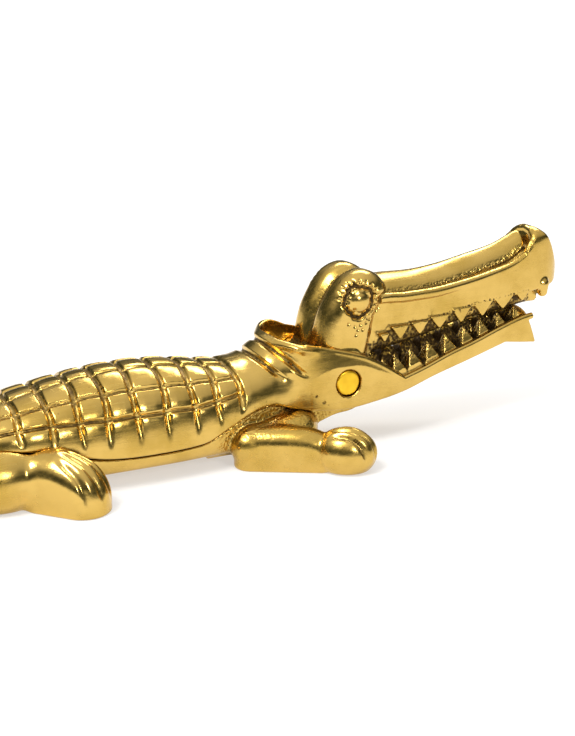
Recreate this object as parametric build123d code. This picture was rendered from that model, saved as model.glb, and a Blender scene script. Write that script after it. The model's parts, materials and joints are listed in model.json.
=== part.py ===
"""Cast brass crocodile nutcracker: two levers that cross at a riveted pin.

The belly lever stands on four feet and carries the head and the upper jaw. The back lever
is the hollow scaled back with the tail, and its forked neck ends in the lower jaw. Pressing
the tail down onto the belly closes the mouth; lifting the tail opens it.
Millimetres, +X towards the snout, +Z up, the table at Z = 0. The model is drawn with X
counted from the pin and is shifted at the end, so that the bounding box is centred.
"""
from build123d import *
import os

os.makedirs("parts", exist_ok=True)

# Driving dimensions
SNOUT_REACH = 84.6        # pin to the front of the snout
TAIL_REACH = 170.4        # pin to the end of the tail
PIVOT_Z = 21.0            # pin above the table
PIN_RADIUS = 4.0
PIN_PLAY = 0.05           # radial running fit of the pin in the cheeks
PIN_HALF_LENGTH = 14.8
CHEEK_FACE_Y = 15.0       # outer face of the fork cheeks
FORK_HALF_GAP = 12.35     # inner face of the fork cheeks
ROOT_HALF_WIDTH = 12.0    # head root that turns between the cheeks
TONGUE_RADIUS = 9.6       # head root round the pin
FORK_END_RADIUS = 11.0    # front end of the fork slot, clear of the tongue
SHELL_WALL = 2.6
BELLY_FLOOR_Z = 4.2       # underside of the belly above the table
BELLY_PLATE_TOP_Z = 8.3
SEAM_GAP = 0.5            # between the skirt of the back and the belly
TOOTH_TIP = 0.3           # flat left at a tooth's tip
FAR = 120.0               # longer than any extrusion needs

# The back's outline: X from the pin, half width, lower edge Z and crown Z of each section
BACK_SECTIONS = [
    (-TAIL_REACH, 1.6, 11.6, 14.6),
    (-158.0, 4.2, 10.6, 18.0),
    (-142.0, 7.6, 10.4, 21.6),
    (-126.0, 12.0, 12.4, 25.0),
    (-113.0, 16.2, 15.2, 27.2),
    (-104.0, 18.2, 16.2, 28.6),
    (-92.0, 19.2, 13.6, 30.9),
    (-80.0, 19.4, 10.6, 32.6),
    (-65.0, 19.2, 9.6, 33.0),
    (-50.0, 18.6, 10.1, 31.6),
    (-40.0, 17.4, 13.9, 30.2),
    (-32.0, 16.2, 17.0, 29.8),
    (-26.0, 15.4, 17.9, 32.4),
    (-18.0, 15.0, 15.2, 39.6),
    (-11.0, 15.0, 13.6, 43.0),
]
HOLLOW_START_X = -108.0   # rear end of the hollow under the back

# Side view of the cheeks and the lower jaw, X from the pin and Z
COLLAR_RIM = [(-30.0, 60.0), (-24.0, 37.4), (-19.6, 36.4), (-16.0, 34.7)]
CHEEK_RIM = [(-15.8, 34.5), (-9.6, 33.0), (-2.7, 31.2), (6.3, 28.3), (13.7, 24.2), (21.3, 19.1)]
JAW_RIM = [(38.7, 24.4), (58.7, 30.0), (72.0, 33.0)]
COLLAR_WALL_X = -18.8     # inner face of the collar behind the head
CHEEK_REAR = [(-28.0, 17.9), (-28.0, 24.0)]
JAW_UNDERSIDE = [(74.6, 23.4), (61.3, 24.9), (47.0, 21.3), (33.0, 18.1), (21.2, 15.0), (9.5, 13.5),
                 (-1.3, 12.6), (-13.4, 13.6), (-19.8, 15.7)]
TROUGH_FLOOR = [(9.0, 16.5), (21.2, 17.9), (47.0, 24.2), (61.3, 27.8), (71.4, 28.6)]
JAW_PLAN = [(-28.0, CHEEK_FACE_Y), (6.0, CHEEK_FACE_Y), (21.0, 13.4), (60.0, 9.3), (74.6, 8.6)]
JAW_WALL = 2.4
LOWER_TEETH_X = (24.0, 65.0)   # first and last tooth of a row
LOWER_TEETH = 9
LOWER_TOOTH_HEIGHT = 7.0
LOWER_TOOTH_SIZE = 3.6

# Side view of the head and the upper jaw
SKULL_BACK = [(-9.6, 26.0), (-8.4, 34.0), (-6.8, 42.0), (-1.5, 50.0), (6.0, 54.2)]
SNOUT_TOP = [(12.0, 54.0), (19.0, 46.6), (30.0, 45.7), (42.8, 46.8), (54.7, 48.6), (66.0, 51.6),
             (71.0, 55.4), (73.4, 61.3)]
NOSE = [(79.0, 56.6), (82.4, 50.0), (SNOUT_REACH, 46.4), (82.6, 42.0)]
UPPER_LIP = [(78.0, 41.0), (63.2, 40.8), (46.5, 39.1), (31.1, 36.4), (16.8, 35.4), (10.4, 27.0)]
HEAD_PLAN = [(-12.0, ROOT_HALF_WIDTH), (12.0, ROOT_HALF_WIDTH), (19.0, 11.2), (63.0, 8.4), (77.0, 7.8),
             (SNOUT_REACH, 4.5)]
SKULL_SECTION = [(ROOT_HALF_WIDTH, 0.0), (ROOT_HALF_WIDTH, 43.0), (10.4, 49.6), (4.6, 54.2), (0.0, 52.4)]
RIDGE_SECTIONS = [        # rounded ridge on top of the snout
    (10.0, 7.6, 44.0, 53.0),
    (19.0, 7.4, 43.0, 51.2),
    (28.0, 7.0, 42.6, 50.9),
    (42.0, 6.4, 44.0, 52.3),
    (58.0, 5.6, 46.0, 55.6),
    (70.0, 5.0, 49.0, 60.2),
    (75.0, 4.6, 51.0, 60.8),
]
UPPER_TEETH_X = (21.5, 70.0)
UPPER_TEETH = 8
UPPER_TOOTH_DROP = 4.4
UPPER_TOOTH_LENGTH = 5.6
UPPER_TOOTH_DEPTH = 2.3
FANG = [(77.0, 42.5), (82.6, 42.5), (81.6, 37.6), (80.0, 37.0)]
FANG_Y = (2.6, 6.6)
KEEL_BOTTOM = [(14.0, 28.4), (24.0, 28.4), (34.0, 30.2), (46.0, 33.2), (58.0, 34.8), (70.0, 36.4)]
KEEL_HALF_WIDTH = 3.6     # rib under the palate, between the rows of lower teeth
EYE_CENTRE = (5.2, 45.6)
EYE_RADIUS = 3.2
EYE_BULGE = 1.1
BROW_RADIUS = 7.4
BROW_BULGE = 0.5

# Belly and neck of the belly lever, half plan and side view
BELLY_PLAN = [(-112.0, 13.0), (-100.0, 17.2), (-80.0, 18.4), (-50.0, 17.6), (-36.0, 15.6), (-20.0, 12.0),
              (-6.0, ROOT_HALF_WIDTH)]
BELLY_SECTION = [(18.6, 18.0), (18.4, 9.0), (14.0, BELLY_FLOOR_Z)]
SKIRT_EDGE = [(-112.0, 15.2), (-104.0, 16.2), (-92.0, 13.6), (-80.0, 10.6), (-65.0, 9.6), (-50.0, 10.1),
              (-40.0, 13.9), (-32.0, 17.0)]
NECK_SIDE = [(-8.8, 34.0), (-16.0, 24.0), (-28.0, 16.0), (-44.0, 9.0), (-44.0, BELLY_FLOOR_Z),
             (-12.0, 8.6), (0.0, PIVOT_Z - TONGUE_RADIUS), (0.0, 34.0)]
NECK_PLAN = [(-44.0, 10.4), (-17.0, 10.4), (-13.0, ROOT_HALF_WIDTH), (0.0, ROOT_HALF_WIDTH)]
TRAY_X = (-106.0, -42.0)  # recess in the belly, under the hollow back
TRAY_WALL = 2.6

# Legs of the right side, as X, Y of the ground plan; the left side is the mirror image
FOREARM_PLAN = [(-39.6, -12.4), (-36.6, -18.4), (-12.0, -31.4), (-8.0, -22.6), (-32.0, -9.0)]
FOREARM_HEIGHT = 12.4
UPPER_ARM_PLAN = [(-39.0, -10.0), (-38.6, -18.2), (-18.0, -20.2), (-12.4, -16.0), (-14.0, -10.0)]
UPPER_ARM_SIDE = [(-39.2, 3.5), (-39.2, 11.6), (-30.0, 14.4), (-18.4, 13.2), (-11.0, 7.4), (-11.0, 3.5)]
PAW_CENTRE = (-9.6, -31.4)
PAW_SIZE = (18.6, 15.2, 13.4)
PAW_TURN = -30.0
THIGH_PLAN = [(-121.0, -9.0), (-119.0, -19.0), (-108.0, -24.4), (-98.0, -22.6), (-96.0, -10.0)]
THIGH_SIDE = [(-121.0, 2.0), (-119.0, 9.4), (-112.0, 13.6), (-104.0, 15.0), (-96.0, 12.4), (-96.0, 2.0)]
HAUNCH_CENTRE = (-106.0, -23.0)
HAUNCH_SIZE = (19.0, 10.4, 17.8)
SHANK_PLAN = [(-112.4, -10.4), (-104.0, -9.0), (-92.0, -20.0), (-98.0, -30.0), (-108.0, -24.0)]
SHANK_HEIGHT = 13.0
FOOT_CENTRE = (-91.4, -26.6)
FOOT_SIZE = (21.0, 15.6, 15.2)
FOOT_TURN = -38.0
LIMB_EDGE_RADIUS = 3.4


def side_prism(points, half_width):
    """Closed outline in the XZ plane, extruded to both sides of the middle plane."""
    outline = Polyline([(x, 0, z) for x, z in points], close=True)
    return extrude(make_face(outline), half_width, dir=(0, 1, 0), both=True)


def mirrored_plan(half_plan, inset=0.0):
    """Closed XY outline from its half, with the half width reduced by an inset."""
    left = [(x, y - inset) for x, y in half_plan]
    right = [(x, -y) for x, y in reversed(left)]
    return left + right


def plan_prism(points, height=FAR, base=0.0):
    """Closed outline in the XY plane, extruded upwards from a base height."""
    outline = Polyline([(x, y, base) for x, y in points], close=True)
    return extrude(make_face(outline), height, dir=(0, 0, 1))


def section_prism(half_section):
    """Closed YZ outline from its half, extruded along the whole length."""
    left = [(0, y, z) for y, z in half_section]
    right = [(0, -y, z) for _, y, z in reversed(left) if y > 0]
    return extrude(make_face(Polyline(left + right, close=True)), 2 * FAR, dir=(1, 0, 0), both=True)


def arch(x, half_width, edge_z, crown_z):
    """Arched section with upright walls and a round crown."""
    rise = crown_z - edge_z
    flank = [(half_width, 0.0), (0.93 * half_width, 0.5 * rise), (0.58 * half_width, 0.87 * rise)]
    points = [(x, -y, edge_z + z) for y, z in flank] + [(x, 0, crown_z)]
    points += [(x, y, edge_z + z) for y, z in reversed(flank)]
    curve = Spline(points, tangents=[(0, 0, 1), (0, 0, -1)])
    return make_face(curve + Line(points[-1], points[0]))


def line_z(points, x):
    """Height of a polyline at x."""
    for (x0, z0), (x1, z1) in zip(points, points[1:]):
        if x0 <= x <= x1:
            return z0 + (z1 - z0) * (x - x0) / (x1 - x0)
    raise ValueError(f"no point of the line at {x}")


def spaced(limits, count):
    """Evenly spaced positions from the first limit to the last."""
    first, last = limits
    return [first + (last - first) * i / (count - 1) for i in range(count)]


def both_sides(shape):
    """A shape of the right side together with its mirror image."""
    return shape + mirror(shape, Plane.XZ)


def pyramid(x, y, base_z, size, height):
    """Four-sided tooth with a small flat tip."""
    foot = make_face(Polyline([(x + dx, y + dy, base_z) for dx, dy in square(size / 2)], close=True))
    tip = make_face(Polyline([(x + dx, y + dy, base_z + height) for dx, dy in square(TOOTH_TIP)], close=True))
    return loft([foot, tip])


def square(half):
    """Corners of a square round its centre."""
    return [(-half, -half), (half, -half), (half, half), (-half, half)]


def limb_block(plan, height):
    """Straight limb with a flat sole and rounded top edges."""
    block = plan_prism(plan, height)
    return fillet(block.edges().filter_by(Axis.Z) + block.faces().sort_by(Axis.Z)[-1].edges(), LIMB_EDGE_RADIUS)


def rounded_paw(centre, size, turn):
    """Oval paw: half an ellipsoid over a flat sole."""
    length, width, height = size
    ball = scale(Sphere(1), (length / 2, width / 2, 0.6 * height))
    placed = Pos(*centre, 0.4 * height) * Rot(0, 0, turn) * ball
    return placed & Pos(*centre, FAR / 2) * Box(FAR, FAR, FAR)


def crosswise_cylinder(radius, half_length, x=0.0, z=PIVOT_Z):
    """Cylinder along Y, centred on the middle plane."""
    return Pos(x, 0, z) * Rot(90, 0, 0) * Cylinder(radius, 2 * half_length)


def back_shell():
    """Arched hollow back from the collar to the tail, open underneath."""
    outer = loft([arch(*section) for section in BACK_SECTIONS], ruled=True)
    hollow_sections = []
    for x, half_width, edge_z, crown_z in BACK_SECTIONS:
        if x >= HOLLOW_START_X:
            inner_width = half_width - SHELL_WALL
            hollow_sections.append(arch(x, inner_width, edge_z - SHELL_WALL, crown_z - SHELL_WALL))
    return outer - loft(hollow_sections, ruled=True)


def lower_jaw():
    """Fork cheeks and the toothed trough in front of them."""
    outline = CHEEK_RIM + JAW_RIM + JAW_UNDERSIDE + CHEEK_REAR
    block = side_prism(outline, CHEEK_FACE_Y) & plan_prism(mirrored_plan(JAW_PLAN))
    inner_plan = plan_prism(mirrored_plan([(x, y) for x, y in JAW_PLAN if x > 0], JAW_WALL))
    above_floor = side_prism(TROUGH_FLOOR + [(71.4, FAR), (9.0, FAR)], CHEEK_FACE_Y)
    return block - (inner_plan & above_floor) - fork_slot(-FAR)


def fork_slot(rear_x):
    """Passage between the cheeks from a rear end, with a round front end about the pin."""
    rear = side_prism([(rear_x, 0.0), (0.0, 0.0), (0.0, 50.0), (rear_x, 50.0)], FORK_HALF_GAP)
    front = side_prism([(-1.0, PIVOT_Z), (12.4, PIVOT_Z), (22.0, 50.0), (-1.0, 50.0)], FORK_HALF_GAP)
    return rear + front + crosswise_cylinder(FORK_END_RADIUS, FORK_HALF_GAP)


def lower_teeth():
    """Two rows of pyramids along the inner walls of the trough."""
    teeth = []
    for x in spaced(LOWER_TEETH_X, LOWER_TEETH):
        y = -(line_z(JAW_PLAN, x) - JAW_WALL - LOWER_TOOTH_SIZE / 2 + 0.3)
        teeth.append(pyramid(x, y, line_z(TROUGH_FLOOR, x) - 0.8, LOWER_TOOTH_SIZE, LOWER_TOOTH_HEIGHT))
    return [half for tooth in teeth for half in (tooth, mirror(tooth, Plane.XZ))]


def back_lever():
    """Back, tail, collar, cheeks and lower jaw, cast in one piece."""
    below_rim = side_prism([(-180.0, 60.0)] + COLLAR_RIM + CHEEK_RIM[:3] + [(-2.7, 0.0), (-180.0, 0.0)], FAR)
    lever = (back_shell() & below_rim) - fork_slot(COLLAR_WALL_X) + lower_jaw()
    lever -= crosswise_cylinder(PIN_RADIUS + PIN_PLAY, CHEEK_FACE_Y + 1)
    for tooth in lower_teeth():
        lever += tooth
    return lever


def head():
    """Skull, snout with its ridge, brows, eyes and upper teeth."""
    side = side_prism(SKULL_BACK + SNOUT_TOP + NOSE + UPPER_LIP, ROOT_HALF_WIDTH)
    block = side & plan_prism(mirrored_plan(HEAD_PLAN)) & section_prism(SKULL_SECTION)
    nose = side_prism([(66.0, 50.0), (73.4, 61.3)] + NOSE + [(66.0, 42.0)], 5.4)
    block += nose & plan_prism(mirrored_plan(HEAD_PLAN))
    block += loft([arch(*section) for section in RIDGE_SECTIONS], ruled=True)
    block += side_prism(KEEL_BOTTOM + [(70.0, 45.0), (14.0, 42.0)], KEEL_HALF_WIDTH)
    eye_x, eye_z = EYE_CENTRE
    block += crosswise_cylinder(EYE_RADIUS, ROOT_HALF_WIDTH + EYE_BULGE, eye_x, eye_z)
    for tooth in upper_teeth():
        block += tooth
    return block + both_sides(fang())


def upper_teeth():
    """Flat triangular teeth along both lips."""
    teeth = []
    lip = sorted(UPPER_LIP)
    for x in spaced(UPPER_TEETH_X, UPPER_TEETH):
        root_z = line_z(lip, x) + 0.6
        half = UPPER_TOOTH_LENGTH / 2
        face_y = line_z(HEAD_PLAN, x) - 0.4
        outline = Polyline((x - half, -face_y, root_z), (x + half, -face_y, root_z),
                           (x, -face_y, root_z - UPPER_TOOTH_DROP), close=True)
        tooth = extrude(make_face(outline), UPPER_TOOTH_DEPTH, dir=(0, 1, 0))
        teeth += [tooth, mirror(tooth, Plane.XZ)]
    return teeth


def fang():
    """Front tooth under the nose, right side."""
    inner, outer = FANG_Y
    outline = Polyline([(x, -outer, z) for x, z in FANG], close=True)
    return extrude(make_face(outline), outer - inner, dir=(0, 1, 0))


def neck():
    """Root of the head that turns between the cheeks, down to the belly."""
    throat = side_prism(NECK_SIDE, ROOT_HALF_WIDTH) & plan_prism(mirrored_plan(NECK_PLAN))
    return throat + crosswise_cylinder(TONGUE_RADIUS, ROOT_HALF_WIDTH)


def belly():
    """Belly plate whose upturned sides meet the skirt of the back."""
    top = [(x, z - SEAM_GAP) for x, z in SKIRT_EDGE]
    side = side_prism(top + [(-32.0, BELLY_FLOOR_Z), (-112.0, BELLY_FLOOR_Z)], FAR)
    plate = side & plan_prism(mirrored_plan(BELLY_PLAN)) & section_prism(BELLY_SECTION)
    rear, front = TRAY_X
    tray_plan = [(x, y) for x, y in BELLY_PLAN if rear <= x <= front]
    tray_plan = [(rear, 14.0)] + tray_plan + [(front, 16.0)]
    return plate - plan_prism(mirrored_plan(tray_plan, TRAY_WALL), FAR, BELLY_PLATE_TOP_Z)


def front_leg():
    """Upper arm, forearm and paw of the right front leg."""
    upper_arm = plan_prism(UPPER_ARM_PLAN) & side_prism(UPPER_ARM_SIDE, FAR)
    return limb_block(FOREARM_PLAN, FOREARM_HEIGHT) + upper_arm + rounded_paw(PAW_CENTRE, PAW_SIZE, PAW_TURN)


def rear_leg():
    """Thigh, shank and foot of the right rear leg."""
    thigh = plan_prism(THIGH_PLAN) & side_prism(THIGH_SIDE, FAR)
    haunch = rounded_paw(HAUNCH_CENTRE, HAUNCH_SIZE, 0)
    shank = limb_block(SHANK_PLAN, SHANK_HEIGHT)
    return thigh + haunch + shank + rounded_paw(FOOT_CENTRE, FOOT_SIZE, FOOT_TURN)


def belly_lever():
    """Belly, legs, neck, head and upper jaw, cast in one piece."""
    lever = belly() + neck() + both_sides(front_leg()) + both_sides(rear_leg()) + head()
    return lever - crosswise_cylinder(PIN_RADIUS, FAR)


def main():
    to_frame = Pos((TAIL_REACH - SNOUT_REACH) / 2, 0, 0)
    parts = {
        "back_lever": back_lever(),
        "belly_lever": belly_lever(),
        "pivot_pin": crosswise_cylinder(PIN_RADIUS, PIN_HALF_LENGTH),
    }
    for name, shape in parts.items():
        export_step(to_frame * shape, f"parts/{name}.step")


main()
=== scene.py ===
"""Looks of the brass crocodile nutcracker: two castings and their pin, sculpted as smooth solids.

Each casting is a field that is negative inside the brass, in millimetres, with X counted from
the pin, Y across and Z above the table. A sparse surface net turns the field into a mesh.
"""
import bmesh
import bpy
import json
import math
import numpy as np
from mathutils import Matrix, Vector


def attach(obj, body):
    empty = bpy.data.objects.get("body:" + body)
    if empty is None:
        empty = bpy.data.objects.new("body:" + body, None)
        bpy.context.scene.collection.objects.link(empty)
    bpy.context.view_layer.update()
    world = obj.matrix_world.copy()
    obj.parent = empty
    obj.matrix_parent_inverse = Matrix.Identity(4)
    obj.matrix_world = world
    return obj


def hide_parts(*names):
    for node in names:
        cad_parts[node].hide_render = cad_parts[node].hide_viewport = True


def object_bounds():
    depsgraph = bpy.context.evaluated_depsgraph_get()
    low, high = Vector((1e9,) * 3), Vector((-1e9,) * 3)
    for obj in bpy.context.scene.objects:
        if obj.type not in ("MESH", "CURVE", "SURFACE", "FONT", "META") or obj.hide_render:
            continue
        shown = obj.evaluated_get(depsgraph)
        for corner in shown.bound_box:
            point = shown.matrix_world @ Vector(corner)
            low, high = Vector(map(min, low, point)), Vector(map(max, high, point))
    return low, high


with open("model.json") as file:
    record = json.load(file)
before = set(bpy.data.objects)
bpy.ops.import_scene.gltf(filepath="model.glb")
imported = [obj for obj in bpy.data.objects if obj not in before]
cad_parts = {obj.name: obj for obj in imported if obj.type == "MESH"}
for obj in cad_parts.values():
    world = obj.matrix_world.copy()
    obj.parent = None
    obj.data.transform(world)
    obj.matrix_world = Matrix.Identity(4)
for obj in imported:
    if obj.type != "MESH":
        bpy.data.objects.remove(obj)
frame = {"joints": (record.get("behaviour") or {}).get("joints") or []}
CAD_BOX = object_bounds()

MM = 0.001
PIVOT_X, _, PIVOT_Z = [value / MM for value in frame["joints"][0]["pos_m"]]
SNOUT_REACH = CAD_BOX[1].x / MM - PIVOT_X
TAIL_REACH = PIVOT_X - CAD_BOX[0].x / MM

FINE_CELL = 0.42    # size of a cell of the surface net
TRIANGLE_LIMIT = 195000
FAR_AWAY = 50.0          # start value that any real distance beats


# ---------------------------------------------------------------- field tools

def smooth_min(a, b, k):
    """Union of two fields with a fillet of about k."""
    h = np.maximum(k - np.abs(a - b), 0.0) / k
    return np.minimum(a, b) - 0.25 * k * h * h


def smooth_max(a, b, k):
    """Intersection of two fields with a rounded edge of about k."""
    return -smooth_min(-a, -b, k)


def smooth_step(low, high, value):
    """0 below low, 1 above high, smooth between."""
    t = np.clip((value - low) / (high - low), 0.0, 1.0)
    return t * t * (3.0 - 2.0 * t)


def outside_span(value, low, high):
    """Negative between low and high."""
    return np.maximum(low - value, value - high)


def round_edge(q1, q2, radius):
    """Two fields, both already raised by the radius, meeting in a round edge."""
    return np.hypot(np.maximum(q1, 0), np.maximum(q2, 0)) + np.minimum(np.maximum(q1, q2), 0) - radius


def superellipse(a, b, width, height, n):
    """Distance to a super-ellipse from a place in it, given as parts a and b of its size."""
    an, bn = a ** n, b ** n
    radial = (an + bn) ** (1.0 / n)
    slope = radial ** (1.0 - n) * np.hypot(an / a / width, bn / b / height)
    return (radial - 1.0) / np.maximum(slope, 1e-3), an, bn


def monotone_slopes(xs, ys):
    """Slopes of a cubic curve through points that doesn't overshoot them."""
    steps, rises = np.diff(xs), np.diff(ys)
    chords = rises / steps
    slopes = np.empty_like(ys)
    slopes[0], slopes[-1] = chords[0], chords[-1]
    before, after = chords[:-1], chords[1:]
    mean = (before * steps[1:] + after * steps[:-1]) / (steps[:-1] + steps[1:])
    limit = 3.0 * np.minimum(np.abs(before), np.abs(after))
    slopes[1:-1] = np.where(before * after > 0, np.clip(mean, -limit, limit), 0.0)
    return slopes


def curve(points, samples=1200):
    """Smooth function of x through (x, value) points, held level beyond its ends."""
    xs, ys = np.array(points, float).T
    slopes = monotone_slopes(xs, ys)
    dense = np.linspace(xs[0], xs[-1], samples)
    i = np.clip(np.searchsorted(xs, dense, "right") - 1, 0, len(xs) - 2)
    h = xs[i + 1] - xs[i]
    t = (dense - xs[i]) / h
    values = ((2 * t ** 3 - 3 * t ** 2 + 1) * ys[i] + (t ** 3 - 2 * t ** 2 + t) * h * slopes[i]
              + (3 * t ** 2 - 2 * t ** 3) * ys[i + 1] + (t ** 3 - t ** 2) * h * slopes[i + 1])
    return lambda x: np.interp(x, dense, values)


def rounded_outline(points, corners=()):
    """Closed polygon: a Catmull-Rom curve through the points, sharp at the listed ones."""
    count = len(points)
    points = np.array(points, float)
    dense = []
    for i in range(count):
        p1, p2 = points[i], points[(i + 1) % count]
        p0 = points[i - 1] if i not in corners else 2 * p1 - p2
        p3 = points[(i + 2) % count] if (i + 1) % count not in corners else 2 * p2 - p1
        for t in np.linspace(0, 1, 8, endpoint=False):
            dense.append(0.5 * (2 * p1 + (p2 - p0) * t + (2 * p0 - 5 * p1 + 4 * p2 - p3) * t * t
                                + (3 * p1 - p0 - 3 * p2 + p3) * t ** 3))
    return np.array(dense)


class Outline:
    """Signed distance to a closed outline, tabulated once and read back smoothly."""

    STEP = 0.4
    MARGIN = 14.0

    def __init__(self, points, corners=()):
        polygon = rounded_outline(points, corners)
        self.low = polygon.min(0) - self.MARGIN
        size = np.ceil((polygon.max(0) + self.MARGIN - self.low) / self.STEP).astype(int) + 1
        u = self.low[0] + self.STEP * np.arange(size[0])
        v = self.low[1] + self.STEP * np.arange(size[1])
        uu, vv = np.meshgrid(u, v, indexing="ij")
        self.table = self.signed_distance(polygon, uu, vv)
        self.size = size

    @staticmethod
    def signed_distance(polygon, u, v):
        best = np.full(u.shape, 1e9)
        inside = np.zeros(u.shape, bool)
        for (ax, ay), (bx, by) in zip(polygon, np.roll(polygon, -1, 0)):
            ex, ey = bx - ax, by - ay
            t = np.clip(((u - ax) * ex + (v - ay) * ey) / (ex * ex + ey * ey + 1e-12), 0, 1)
            best = np.minimum(best, (u - ax - t * ex) ** 2 + (v - ay - t * ey) ** 2)
            if ay != by:
                crossing = (ay > v) != (by > v)
                inside ^= crossing & (u < ex * (v - ay) / ey + ax)
        return np.where(inside, -1.0, 1.0) * np.sqrt(best)

    def __call__(self, u, v):
        gu = (u - self.low[0]) / self.STEP
        gv = (v - self.low[1]) / self.STEP
        cu = np.clip(gu, 1.0, self.size[0] - 2.001)
        cv = np.clip(gv, 1.0, self.size[1] - 2.001)
        outside = self.STEP * np.hypot(gu - cu, gv - cv)
        iu, iv = cu.astype(int), cv.astype(int)
        iu = np.minimum(iu, self.size[0] - 3)
        iv = np.minimum(iv, self.size[1] - 3)
        wu, wv = cubic_weights(cu - iu), cubic_weights(cv - iv)
        total = 0.0
        for a in range(4):
            row = 0.0
            for b in range(4):
                row = row + wv[b] * self.table[iu + a - 1, iv + b - 1]
            total = total + wu[a] * row
        return total + outside


def cubic_weights(t):
    """Weights of four neighbouring samples for a smooth value between the middle two."""
    return (((1 - t) ** 3) / 6, (3 * t ** 3 - 6 * t ** 2 + 4) / 6,
            (-3 * t ** 3 + 3 * t ** 2 + 3 * t + 1) / 6, t ** 3 / 6)


def ellipsoid(x, y, z, centre, radii, turn=0.0):
    """Ellipsoid, turned about the vertical by an angle in degrees."""
    c, s = math.cos(math.radians(turn)), math.sin(math.radians(turn))
    dx, dy, dz = x - centre[0], y - centre[1], z - centre[2]
    u, v = c * dx + s * dy, -s * dx + c * dy
    k0 = np.sqrt((u / radii[0]) ** 2 + (v / radii[1]) ** 2 + (dz / radii[2]) ** 2)
    k1 = np.sqrt((u / radii[0] ** 2) ** 2 + (v / radii[1] ** 2) ** 2 + (dz / radii[2] ** 2) ** 2)
    return k0 * (k0 - 1.0) / np.maximum(k1, 1e-6)


def round_cone(x, y, z, a, b, ra, rb):
    """Rod from a to b whose radius goes from ra to rb."""
    a, b = np.array(a, float), np.array(b, float)
    e = b - a
    t = np.clip(((x - a[0]) * e[0] + (y - a[1]) * e[1] + (z - a[2]) * e[2]) / (e @ e), 0, 1)
    return np.sqrt((x - a[0] - t * e[0]) ** 2 + (y - a[1] - t * e[1]) ** 2
                   + (z - a[2] - t * e[2]) ** 2) - (ra + (rb - ra) * t)


def rounded_bar(x, y, z, start, end, half_width, height, radius):
    """Flat-soled bar from start to end in plan: its field, and the way along it from its middle."""
    start, end = np.array(start, float), np.array(end, float)
    length = np.hypot(*(end - start))
    ex, ey = (end - start) / length
    middle = (start + end) / 2
    u = (x - middle[0]) * ex + (y - middle[1]) * ey
    v = -(x - middle[0]) * ey + (y - middle[1]) * ex
    if callable(height):
        height = height(u)
    qu = np.abs(u) - (length / 2 - radius)
    qv = np.abs(v) - (half_width - radius)
    qz = z - height + radius
    outer = np.sqrt(np.maximum(qu, 0) ** 2 + np.maximum(qv, 0) ** 2 + np.maximum(qz, 0) ** 2)
    return outer + np.minimum(np.maximum(np.maximum(qu, qv), qz), 0.0) - radius, u, v


def groove(distance, half_width):
    """1 in the middle of a groove and falling off to 0 on both sides."""
    return np.exp(-(distance / half_width) ** 2)


# ---------------------------------------------------------------- back lever

BACK = [                 # X, half width, lower edge Z, crown Z
    (-TAIL_REACH, 1.9, 11.4, 15.2),
    (-158.0, 4.4, 10.6, 17.6),
    (-142.0, 7.8, 10.6, 20.7),
    (-126.0, 12.0, 12.6, 23.9),
    (-113.0, 16.2, 15.4, 26.1),
    (-104.0, 18.2, 16.0, 27.7),
    (-92.0, 19.2, 13.4, 30.1),
    (-80.0, 19.4, 10.6, 32.0),
    (-65.0, 19.2, 9.6, 32.7),
    (-50.0, 18.5, 10.1, 31.5),
    (-40.0, 17.4, 13.8, 30.0),
    (-34.0, 16.5, 16.2, 29.6),
    (-29.5, 15.8, 17.4, 30.2),
    (-26.0, 15.3, 17.6, 31.9),
    (-23.2, 15.0, 17.0, 34.3),
    (-20.8, 15.0, 16.2, 36.7),
    (-18.4, 14.9, 15.4, 39.4),
    (-13.0, 14.9, 14.0, 45.0),
]
BACK_WIDTH, BACK_EDGE, BACK_CROWN = [curve([(row[0], row[i]) for row in BACK]) for i in (1, 2, 3)]
BACK_SQUARENESS = curve([(-120.0, 2.0), (-90.0, 2.2), (-60.0, 2.35), (-40.0, 2.3), (-30.0, 2.2),
                         (-22.0, 1.95), (-19.0, 2.0), (-15.8, 2.7), (-13.0, 3.0)])
SHELL_WALL = 2.6
SHELL_END_X = -4.0
HOLLOW_START_X, HOLLOW_END_X = -108.0, -8.0
FORK_HALF_GAP = 12.35
COLLAR_WALL_X = -18.8

RING_GROOVES = [-168.0, -163.6, -158.8, -153.6, -148.0, -142.0, -135.5, -128.5, -121.0, -112.6, -103.9,
                -95.0, -86.6, -78.4, -69.7, -60.3, -51.6, -43.8, -36.2]
ROW_ANGLES = [0.0, 5.0, 28.0, 52.0, 80.5, 99.5]      # round the arch, from the skirt to past the spine
ROW_LENGTHS = [0.0, 3.2, 12.8, 20.8, 30.2, 38.6]     # the same lines along the arch, mid back
MID_BACK_GIRTH = 42.3
ROWS_FADE_X = (-37.5, -34.5)


def arch_field(x, y, z):
    """Arched cross-section of the back: distance and angle round the arch in degrees."""
    width, edge, crown = BACK_WIDTH(x), BACK_EDGE(x), BACK_CROWN(x)
    n = BACK_SQUARENESS(x)
    height = crown - edge
    a = np.maximum(np.abs(y) / width, 1e-4)
    b = np.maximum(np.maximum(z - edge, 0.0) / height, 1e-4)
    distance, an, bn = superellipse(a, b, width, height, n)
    return distance, np.degrees(np.arctan2(np.sqrt(bn), np.sqrt(an)))


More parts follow.
